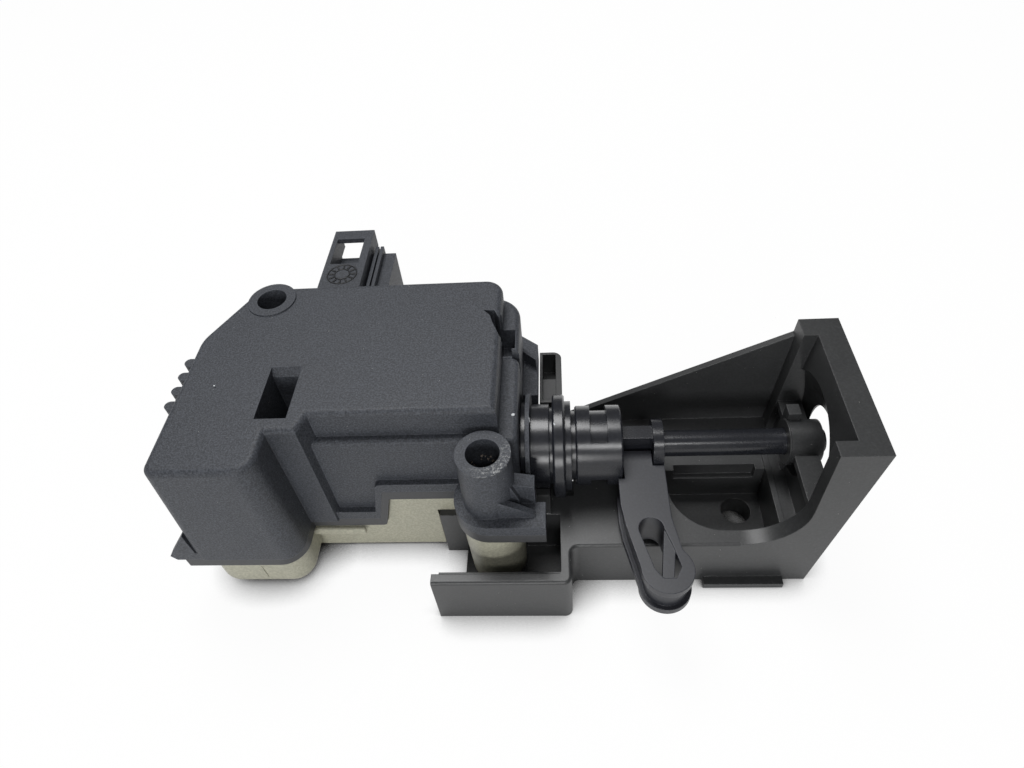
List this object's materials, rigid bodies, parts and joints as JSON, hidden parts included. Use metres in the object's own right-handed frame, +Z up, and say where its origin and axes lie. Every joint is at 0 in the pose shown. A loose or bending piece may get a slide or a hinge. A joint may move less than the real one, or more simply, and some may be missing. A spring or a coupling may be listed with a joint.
{
  "type": "fuel flap lock",
  "caption": "Motor driven fuel flap lock: two-shell casing, sliding bolt with cup and release arm, and a screw-on guide bracket.",
  "frame": {"origin": "axis of the front fixing screw, at the level that the bracket and the casing stand on", "axes": "+X along the bolt towards its free end, +Y towards the electrical connector, +Z up along the fixing screws"},
  "size_m": [0.1423, 0.0892, 0.0469],
  "materials": {
    "casing_black": "fine textured injection moulding",
    "seal_black": "smooth elastomer frame",
    "casing_ivory": "natural pale moulding",
    "satin_black": "satin smooth moulding",
    "rubber_black": "soft",
    "bracket_black": "smooth moulding with a slight sheen",
    "bush_black": "plain bearing plastic",
    "tinned_brass": "tinned",
    "motor_steel": "plated can",
    "motor_cap": "plain",
    "shaft_steel": "ground",
    "gear_plastic": "natural white gear plastic",
    "strip_brass": "stamped strip"
  },
  "bodies": {
    "frame": {"upper_shell": "casing_black", "shell_seal": "seal_black", "lower_shell": "casing_ivory", "nose_sleeve": "satin_black", "lock_washer": "casing_black", "lip_seal": "rubber_black", "end_buffer": "rubber_black", "bracket": "bracket_black", "guide_bush": "bush_black", "connector_socket": "casing_black", "connector_pins": "tinned_brass", "motor_can": "motor_steel", "motor_end_cap": "motor_cap", "shaft_bearing": "bush_black", "wheel_axle": "shaft_steel", "contact_strip_left": "strip_brass", "contact_strip_right": "strip_brass"},
    "bolt": {"drive_slider": "satin_black", "bolt_rod": "satin_black", "release_arm": "satin_black"},
    "gear_wheel": {"worm_wheel": "gear_plastic", "drive_pinion": "gear_plastic"},
    "worm_shaft": {"worm": "gear_plastic", "motor_shaft": "shaft_steel"}
  },
  "joints": [
    {"name": "bolt_slide", "type": "slide", "parent": "frame", "child": "bolt", "axis": [1, 0, 0], "range_m": [0, 0.012]},
    {"name": "wheel_turn", "type": "hinge", "parent": "frame", "child": "gear_wheel", "pos_m": [-0.0413, 0.0284, 0.0132], "axis": [0, 0, 1], "range_deg": [0, 98.3]},
    {"name": "worm_turn", "type": "hinge", "parent": "frame", "child": "worm_shaft", "pos_m": [-0.0529, 0.0266, 0.0132], "axis": [0, 1, 0], "range_deg": [0, 2161]}
  ],
  "couplings": [
    {"joint": "wheel_turn", "follows": "bolt_slide", "rad_per_m": 142.86},
    {"joint": "worm_turn", "follows": "bolt_slide", "rad_per_m": 3142.9}
  ]
}
